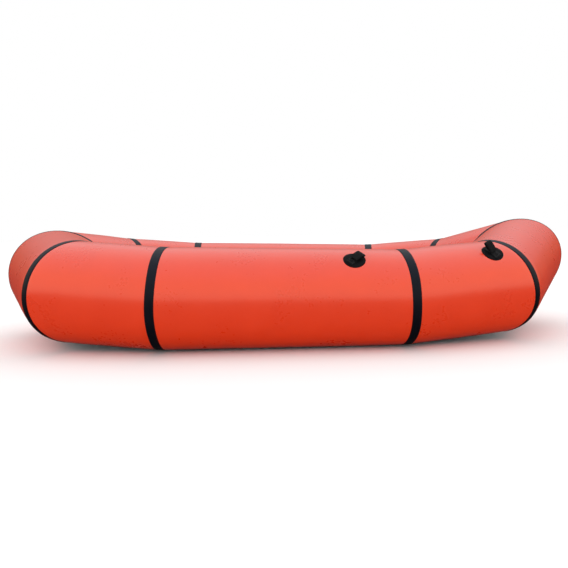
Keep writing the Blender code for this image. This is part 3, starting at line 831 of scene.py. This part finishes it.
def make_main_valve():
    place = valve_matrix()
    outer = [(r, h) for r, h in patch_profile(VALVE_PATCH_RADIUS) if r >= VALVE_PATCH_HOLE]
    section = [(VALVE_PATCH_HOLE, PATCH_TOP), *outer, (VALVE_PATCH_HOLE, SUNK)]
    flat = np.concatenate([circle(r, h, VALVE_PATCH_SIDES) for r, h in section])
    faces = grid_faces(len(section), VALVE_PATCH_SIDES, wrap=True)
    faces += closing_faces(len(section), VALVE_PATCH_SIDES)
    placed = wrap(flat, VALVE_PANEL, VALVE_ANGLE, VALVE_ALONG)
    patch = new_object("valve_patch_ring", placed, flipped(faces), PATCH, flat[:, :2])
    finish_piece(patch, "hull", "tape", "valve_patch")
    lathe("valve_base_ring", "valve_base", "hull", "valve", place, [
        (18.4, 7.6), (18.9, 8.0), (25.2, 8.0), (26.2, 7.6), (26.8, 6.8), (27.0, 5.8), (27.0, 3.5),
        (26.5, 3.0), (22.0, 3.0), (22.0, -13.6), (21.6, -14.0), (18.8, -14.0), (18.4, -13.6),
    ])
    gasket = soft_ring(19.0, 23.4, 8.25, 9.35, drop=0.25)
    lathe("plug_gasket_ring", "valve_plug_gasket", "plug_gasket", "rubber", place, gasket)
    lathe("plug_body", "valve_plug", "plug", "valve", place, [
        (10.0, 18.6), (10.4, 19.0), (14.6, 19.0), (15.0, 18.6), (15.0, 13.4), (15.4, 13.0), (23.2, 13.0),
        (23.8, 12.6, 1), (24.0, 12.2, 1), (24.0, 10.4, 1), (23.8, 10.0, 1), (23.2, 9.6), (18.0, 9.6),
        (18.0, -14.6), (17.6, -15.0), (10.4, -15.0), (10.0, -14.6),
    ], segments=192, ribs=32, rib_depth=1.1)
    lathe("flap_disc", "valve_flap", "flap", "rubber", place, [
        (0, -15.35), (12.6, -15.35), (13.0, -15.6), (13.0, -16.0), (12.6, -16.3), (0, -16.3),
    ])
    seal = soft_ring(10.5, 14.8, 19.3, 20.3)
    lathe("cap_gasket_ring", "valve_cap_gasket", "cap_gasket", "rubber", place, seal)
    lathe("cap_shell", "valve_cap", "cap", "valve", place, [
        (0.0, 22.4), (9.0, 22.4), (9.6, 22.6), (10.4, 23.0), (18.4, 23.2), (19.3, 22.9, 1), (19.8, 22.3, 1),
        (20.0, 21.5, 1), (20.0, 17.6, 1), (19.7, 17.1, 1), (19.2, 17.0), (17.2, 17.0), (17.2, 14.9),
        (16.9, 14.6), (15.7, 14.6), (15.4, 14.9), (15.4, 20.6), (0.0, 20.6),
    ], segments=192, ribs=24, rib_depth=1.2)
    ring = soft_ring(17.6, 21.0, 14.9, 16.7, drop=0.3)
    lathe("cap_leash_ring", "valve_leash_cap_ring", "cap_gasket", "rubber", place, ring)
    lathe("leash_collar", "valve_leash", "plug", "rubber", place, soft_ring(15.4, 23.4, 13.3, 14.3))
    leash = (
        (22.4, 13.8), (26.0, 13.75), (29.6, 14.0), (32.2, 15.2), (33.0, 17.1), (31.8, 18.8), (29.2, 19.0),
        (26.0, 17.8), (23.0, 16.3), (20.4, 15.8),
    )
    curve = [place @ Vector((x * MM, 0, z * MM)) for x, z in refine(leash)]
    points, faces, _ = webbing_strip(curve, 0.006, 0.0012, place.col[1].to_3d(), rounding=4)
    strap = new_object("leash_strap", points, faces, MOULDED["rubber"], None, 60)
    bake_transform(strap)


def make_twist_valve(prefix, body):
    """Mouth valve: welded flange with a grip ring, seal and a twisting stem."""
    place = axis_matrix(f"{prefix}_valve_turn")
    seal, stem = f"{prefix}_valve_seal", f"{prefix}_valve_stem"
    lathe(f"{prefix}_flange", f"{prefix}_valve_flange", body, "valve", place, [
        (5.3, 7.7), (5.6, 8.0), (7.7, 8.0), (8.0, 7.7, 1), (8.0, 3.2, 1), (8.6, 2.3), (10.0, 1.8),
        (15.4, 1.5), (16.0, 1.0), (16.0, 0.3), (5.3, 0.3),
    ], ribs=20, rib_depth=0.5)
    lathe(f"{prefix}_seal", seal, seal, "rubber", place, soft_ring(5.3, 7.2, 8.3, 9.3, edge=0.2))
    lathe(f"{prefix}_stem", stem, stem, "valve", place, [
        (2.0, 14.7), (2.3, 15.0), (4.3, 15.0), (4.8, 14.6), (5.3, 13.9), (5.3, 13.4), (4.7, 12.7),
        (4.6, 12.2), (4.6, 11.2), (7.3, 11.0), (7.6, 10.7, 1), (7.6, 9.9, 1), (7.3, 9.6), (4.9, 9.6),
        (4.9, 1.5), (4.6, 1.2), (2.3, 1.2), (2.0, 1.5),
    ], ribs=16, rib_depth=0.6)


# ---------- inflated cushions
SWELL_CAP = 0.005


def cushion_shell(half, thickness, channels, crown_bottom):
    """Two layers welded round their edge, with welded channels: points and faces in the cushion's own frame.

    half is the half size in plan, thickness its half height, and channels lie across the first axis.
    """
    spacing, corner, pull = 0.0055, 0.055, 0.035
    rim, rise_reach, least = 0.007, 0.038, 0.0006
    channel_width, channel_depth = 0.017, 0.42
    nx, ny = (int(2 * side / spacing) | 1 for side in half)
    u, v = np.meshgrid(np.linspace(-1, 1, nx), np.linspace(-1, 1, ny), indexing="ij")
    x = u * half[0] * (1 - pull * (1 - v * v) * np.abs(u))
    y = v * half[1] * (1 - pull * (1 - u * u) * np.abs(v))
    past_x = np.maximum(np.abs(u) * half[0] - (half[0] - corner), 0)
    past_y = np.maximum(np.abs(v) * half[1] - (half[1] - corner), 0)
    in_corner = (past_x > 0) & (past_y > 0)
    both = np.hypot(past_x, past_y)
    over = np.where(both > corner, corner / np.maximum(both, 1e-9), 1.0)
    x = np.where(in_corner, np.sign(x) * (np.abs(x) - past_x * (1 - over)), x)
    y = np.where(in_corner, np.sign(y) * (np.abs(y) - past_y * (1 - over)), y)
    edge = np.minimum(half[0] - np.abs(u) * half[0], half[1] - np.abs(v) * half[1])
    edge = np.where(in_corner, np.maximum(corner - both, 0), edge)
    rise = np.sqrt(np.clip(1 - (1 - np.clip((edge - rim) / rise_reach, 0, 1)) ** 2, 0, 1))
    depth = np.ones_like(u)
    for position, reach in channels:
        ends = smooth(1 - np.abs(v), 1 - reach, 1 - reach + 0.08)
        near = np.exp(-((u * half[0] - position) / channel_width) ** 2)
        depth = depth * (1 - channel_depth * near * ends)
    turn = np.arctan2(v, u)
    ripple = np.sin(turn * 46 + 2 * np.sin(turn * 7))
    gathers = 0.0010 * ripple * np.exp(-np.maximum(edge - rim, 0) / 0.012) * (edge > rim)
    crown = (thickness - least) * rise
    top = least + crown * depth + gathers
    bottom = -least - crown * (depth if crown_bottom else 1 - 0.10 * (1 - depth)) + gathers
    upper, lower = (np.stack((x, y, level), -1).reshape(-1, 3) for level in (top, bottom))
    faces = flipped(grid_faces(nx, ny)) + [tuple(i + nx * ny for i in f) for f in grid_faces(nx, ny)]
    border = [i * ny for i in range(nx)] + [(nx - 1) * ny + j for j in range(1, ny)]
    border += [i * ny + ny - 1 for i in range(nx - 2, -1, -1)] + [j for j in range(ny - 2, 0, -1)]
    for a, b in zip(border, border[1:] + border[:1]):
        faces.append((a, b, b + nx * ny, a + nx * ny))
    return np.concatenate((upper, lower)), faces


def positions(mesh):
    flat = np.empty(len(mesh.vertices) * 3)
    mesh.vertices.foreach_get("co", flat)
    return flat.reshape(-1, 3)


def inflate(obj, cap, hold, frames=14, pressure=3.0):
    """Cloth simulation of the inflated skin. hold lists the welded vertices, and cap limits all travel."""
    mesh = obj.data
    start = positions(mesh)
    group = obj.vertex_groups.new(name="weld")
    group.add([int(i) for i in hold], 1.0, "REPLACE")
    cloth = obj.modifiers.new("Cloth", "CLOTH")
    settings = cloth.settings
    settings.quality = 6
    settings.mass = 0.2
    settings.tension_stiffness = settings.compression_stiffness = 25
    settings.shear_stiffness = 10
    settings.bending_stiffness = 0.4
    settings.use_pressure = True
    settings.uniform_pressure_force = pressure
    settings.vertex_group_mass = "weld"
    settings.effector_weights.gravity = 0
    cloth.collision_settings.use_collision = False
    scene = bpy.context.scene
    for number in range(1, frames + 1):
        scene.frame_set(number)
    graph = bpy.context.evaluated_depsgraph_get()
    travel = positions(obj.evaluated_get(graph).data) - start
    size = np.linalg.norm(travel, axis=1, keepdims=True)
    travel *= np.minimum(1.0, cap / np.maximum(size, 1e-9))
    mesh.vertices.foreach_set("co", (start + travel).ravel())
    obj.modifiers.remove(cloth)
    scene.frame_set(1)
    mesh.update()


def local_box(node, matrix):
    """Lowest and highest corner of a CAD node in another frame."""
    inverse = matrix.inverted()
    points = np.array([inverse @ v.co for v in frame["nodes"][node].data.vertices])
    return points.min(0), points.max(0)


def make_cushion(name, node, body, matrix, flat_axes, channels, crown_bottom):
    """An inflated cushion that fills a CAD node's box. flat_axes: the box axes of its plan and thickness."""
    low, high = local_box(node, matrix)
    size, middle = high - low, (high + low) / 2
    length, width, height = (size[axis] / 2 for axis in flat_axes)
    points, faces = cushion_shell((length, width), height - SWELL_CAP * 0.6, channels, crown_bottom)
    obj = new_object(name, points, faces, CUSHION)
    inflate(obj, SWELL_CAP, np.where(np.abs(points[:, 2]) < 0.0012)[0])
    local = positions(obj.data)
    placed = np.zeros_like(local)
    for source, axis in enumerate(flat_axes):
        placed[:, axis] = local[:, source] + middle[axis]
    world = np.array([matrix @ Vector(p) for p in np.clip(placed, low, high)])
    obj.data.vertices.foreach_set("co", world.ravel())
    obj.data.update()
    obj.modifiers.new("Smooth", "SUBSURF").render_levels = 1
    finish_piece(obj, body, "cushion", node)


def backrest_matrix():
    z_axis = Vector(JOINTS["backrest_valve_turn"]["axis"]).normalized()
    y_axis = Vector((0, 1, 0))
    return frame_matrix(JOINTS["backrest_fold"]["pos_m"], y_axis.cross(z_axis), y_axis, z_axis)


def make_seat():
    make_cushion(
        "seat_bladder", "seat_cushion", "hull", Matrix.Identity(4), (0, 1, 2),
        [(-0.085, 0.72), (0.0, 0.72), (0.085, 0.72)], crown_bottom=False,
    )
    make_twist_valve("seat", "hull")
    make_seat_straps()


def make_backrest():
    matrix = backrest_matrix()
    make_cushion(
        "backrest_bladder", "backrest_cushion", "backrest", matrix, (1, 2, 0),
        [(-0.075, 0.70), (0.0, 0.70), (0.075, 0.70)], crown_bottom=True,
    )
    make_twist_valve("backrest", "backrest")
    make_hinge_cloth(matrix)


def make_hinge_cloth(matrix):
    """One strip of cloth welded to the seat and to the backrest, bent along the hinge line."""
    seat_low, seat_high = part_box("backrest_hinge_seat_leaf")
    back_low, back_high = local_box("backrest_hinge_back_leaf", matrix)
    level = (seat_low.z + seat_high.z) / 2
    forward = (back_low[0] + back_high[0]) / 2
    path = [Vector((x, 0, level)) for x in np.linspace(seat_high.x, seat_low.x + 0.003, 9)]
    rise = [matrix @ Vector((forward, 0, z)) for z in np.linspace(back_low[2], back_high[2], 12)]
    corner = Vector((seat_low.x - 0.0005, 0, level))
    bend_line = arc(path[-1], corner, rise[0], np.linspace(0, 1, 9)[1:-1])
    width = seat_high.y - seat_low.y
    points, faces, uvs = webbing_strip([*path, *bend_line, *rise], width, 0.0011, (0, 1, 0), rounding=40)
    obj = new_object("hinge_cloth", points, faces, PATCH, uvs, 60)
    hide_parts("backrest_hinge_seat_leaf", "backrest_hinge_back_leaf")
    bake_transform(obj)


def make_seat_straps():
    """Webbing from the seat's sides to patches on the side tubes."""
    panel, angle = 2, 230.0
    seat_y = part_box("seat_cushion")[1].y
    for side, where in ((-1, "starboard"), (1, "port")):
        node = f"seat_strap_{where}"
        low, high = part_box(node)
        middle_x = (low.x + high.x) / 2
        along = middle_x - STATIONS[panel][1]
        make_patch(f"strap_patch_{where}", f"seat_strap_patch_{where}", panel, angle, along, 0.025, side)
        tube = [skin(panel, along, angle - d, 0.0026) for d in (0.0, 3.5, 7.0)]
        seat = [np.array((middle_x, -seat_y - past, z)) for past, z in ((-0.014, 0.0455), (0.004, 0.0450))]
        sag = (tube[0] + seat[-1]) / 2 - np.array((0, 0, 0.002))
        line = [p * (1, -side, 1) for p in refine([*seat, sag, *tube], 4)]
        points, faces, uvs = webbing_strip(line, STRAP_WIDTH, LOOP_THICKNESS, (1, 0, 0))
        obj = new_object(f"seat_webbing_{where}", points, faces, WEBBING, uvs, 60)
        finish_piece(obj, "hull", "webbing", node)


# ---------- stage, light and camera
def make_stage():
    reach = 40.0
    corners = [(-reach, -reach, 0), (reach, -reach, 0), (reach, reach, 0), (-reach, reach, 0)]
    mesh = bpy.data.meshes.new("studio_floor")
    mesh.from_pydata(corners, [], [(0, 1, 2, 3)])
    floor = bpy.data.objects.new("studio_floor", mesh)
    floor.location.z = -0.0006
    bpy.context.scene.collection.objects.link(floor)
    nodes = Nodes("studio_floor")
    nodes.set(Base_Color=(0.96, 0.96, 0.96, 1), Roughness=1.0, Specular_IOR_Level=0.0)
    mesh.materials.append(nodes.material)
    floor.visible_glossy = False


def sky_colour(tree, height, stops):
    """Radiance that depends on the height of a direction."""
    highest = max(share for _, share, _ in stops)
    ramp = tree.nodes.new("ShaderNodeValToRGB")
    ramp.color_ramp.interpolation = "EASE"
    elements = ramp.color_ramp.elements
    while len(elements) < len(stops):
        elements.new(0.5)
    for element, (position, share, tint) in zip(elements, stops):
        element.position = position
        element.color = (*[share / highest * channel for channel in tint], 1)
    tree.links.new(height, ramp.inputs["Fac"])
    scaled = tree.nodes.new("ShaderNodeVectorMath")
    scaled.operation = "SCALE"
    scaled.inputs["Scale"].default_value = highest
    tree.links.new(ramp.outputs["Color"], scaled.inputs[0])
    return scaled.outputs[0]


def mapped(tree, value, low, high):
    """A value from low to high as 0 to 1."""
    node = tree.nodes.new("ShaderNodeMapRange")
    node.inputs["From Min"].default_value, node.inputs["From Max"].default_value = low, high
    tree.links.new(value, node.inputs["Value"])
    return node.outputs["Result"]


def make_world():
    """Surroundings that glossy rays see as a soft box, the camera as white, and all others as matt light."""
    world = bpy.data.worlds.new("studio")
    bpy.context.scene.world = world
    world.use_nodes = True
    tree = world.node_tree
    link = tree.links.new
    place = tree.nodes.new("ShaderNodeTexCoord")
    split = tree.nodes.new("ShaderNodeSeparateXYZ")
    link(place.outputs["Generated"], split.inputs[0])
    height = mapped(tree, split.outputs["Z"], -1, 1)
    shine = tree.nodes.new("ShaderNodeMix")
    shine.data_type = "RGBA"
    shine.clamp_result = False
    link(mapped(tree, split.outputs["Y"], -0.25, 0.6), shine.inputs["Factor"])
    link(sky_colour(tree, height, SHINE_FRONT), shine.inputs["A"])
    link(sky_colour(tree, height, SHINE_BACK), shine.inputs["B"])
    seen = tree.nodes.new("ShaderNodeLightPath")
    output = tree.nodes["Background"].outputs[0]
    link(sky_colour(tree, height, SKY), tree.nodes["Background"].inputs["Color"])
    for ray, colour in (("Is Glossy Ray", shine.outputs["Result"]), ("Is Camera Ray", None)):
        background, both = tree.nodes.new("ShaderNodeBackground"), tree.nodes.new("ShaderNodeMixShader")
        if colour is None:
            background.inputs["Color"].default_value = (1, 1, 1, 1)
        else:
            link(colour, background.inputs["Color"])
        link(seen.outputs[ray], both.inputs["Fac"])
        link(output, both.inputs[1])
        link(background.outputs[0], both.inputs[2])
        output = both.outputs[0]
    link(output, tree.nodes["World Output"].inputs["Surface"])


def make_light():
    """One soft light above; the rest of the light and the shine come from the surroundings."""
    data = bpy.data.lights.new("overhead", "AREA")
    data.shape = "RECTANGLE"
    data.size, data.size_y = 3.0, 2.4
    data.energy = 3
    data.color = (1.0, 0.99, 0.98)
    light = bpy.data.objects.new("overhead", data)
    light.location = (-0.3, -0.6, 3.0)
    direction = Vector((0, 0, 0.15)) - light.location
    light.rotation_euler = direction.to_track_quat("-Z", "Y").to_euler()
    light.visible_glossy = False
    bpy.context.scene.collection.objects.link(light)


def make_camera():
    """Side view from just above the side tube, with the boat level and the camera tilted a little."""
    data = bpy.data.cameras.new("camera")
    data.sensor_width = 36.0
    data.lens = 38.2
    camera = bpy.data.objects.new("camera", data)
    camera.location = (0.0080, -2.0130, 0.3236)
    yaw, pitch, roll = (math.radians(a) for a in (-0.282, -4.912, -1.338))
    aimed = Matrix.Rotation(-yaw, 4, "Z") @ Matrix.Rotation(math.pi / 2 + pitch, 4, "X")
    camera.rotation_euler = (aimed @ Matrix.Rotation(roll, 4, "Z")).to_euler()
    bpy.context.scene.collection.objects.link(camera)
    bpy.context.scene.camera = camera


# ---------- build
make_camera()
make_stage()
make_world()
make_light()
make_hull()
FLOOR_CLOTH = make_floor()
make_tie_downs()
make_main_valve()
make_seat()
make_backrest()
bpy.context.scene.view_settings.view_transform = "Standard"

bpy.context.view_layer.update()
